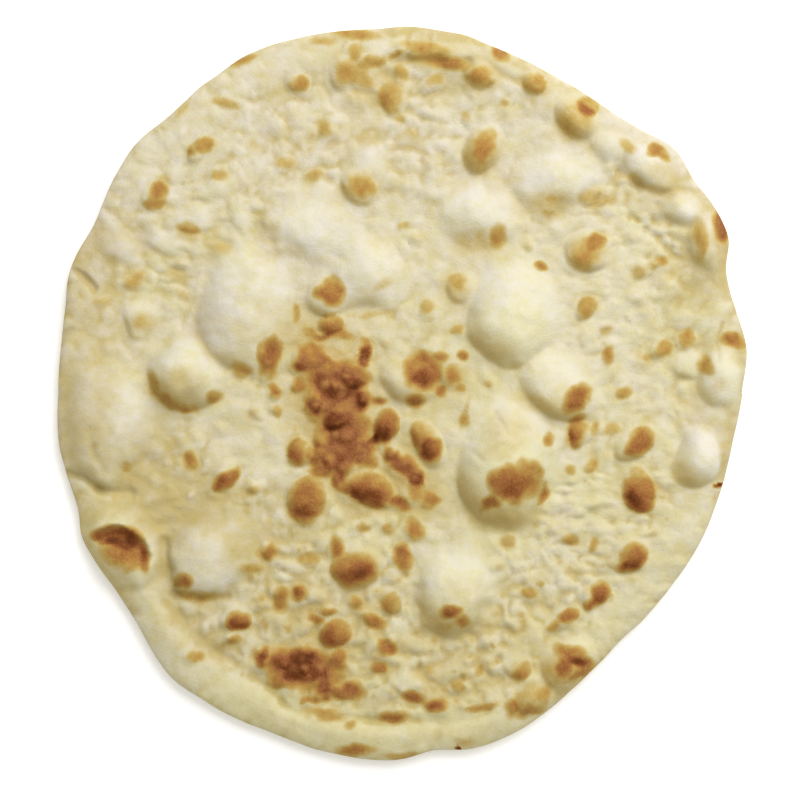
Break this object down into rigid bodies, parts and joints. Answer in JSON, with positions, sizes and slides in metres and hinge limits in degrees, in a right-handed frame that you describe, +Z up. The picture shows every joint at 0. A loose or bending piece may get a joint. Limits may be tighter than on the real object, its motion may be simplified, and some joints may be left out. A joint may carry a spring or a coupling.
{
  "type": "round flatbread",
  "caption": "Round, thin, hand-stretched flatbread with a puffed rim, pale blisters and toasted spots, lying flat on its underside.",
  "frame": {"origin": "under the middle of the bread, on the table it lies on", "axes": "+Z up, through the bread's thickness; +Y along its longer way; +X across it"},
  "size_m": [0.2632, 0.2804, 0.0184],
  "materials": {
    "crust": "matt baked crust, cream with toasted blisters"
  },
  "bodies": {
    "root": {"flatbread": "crust"}
  },
  "joints": []
}
